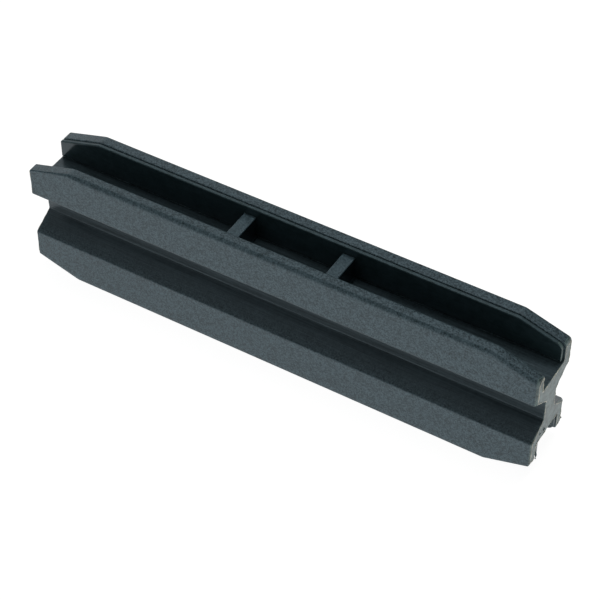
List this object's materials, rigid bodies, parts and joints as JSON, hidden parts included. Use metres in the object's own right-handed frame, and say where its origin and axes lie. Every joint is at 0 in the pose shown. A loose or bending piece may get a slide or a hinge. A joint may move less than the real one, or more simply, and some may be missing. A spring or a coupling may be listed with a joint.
{
  "type": "vibration dampener",
  "caption": "Straight black damping bar of I-section with channels top and bottom, side grooves, sloped lip ends, liner strips and cross bars.",
  "frame": {"origin": "middle of the base, on the plane of the two lower lips' edges", "axes": "+X along the bar, +Y across it from the front lips to the rear lips, +Z from the lower channel to the upper one"},
  "size_m": [0.1, 0.0122, 0.0255],
  "materials": {
    "beam": "black moulding with a fine spark-eroded texture",
    "liner": "black, smooth and dull",
    "cross_bar": "black moulding, satin top"
  },
  "bodies": {
    "root": {"beam_core": "beam", "upper_front_liner": "liner", "upper_rear_liner": "liner", "lower_front_liner": "liner", "lower_rear_liner": "liner", "upper_left_cross_bar": "cross_bar", "upper_right_cross_bar": "cross_bar", "lower_left_cross_bar": "cross_bar", "lower_right_cross_bar": "cross_bar"}
  },
  "joints": []
}
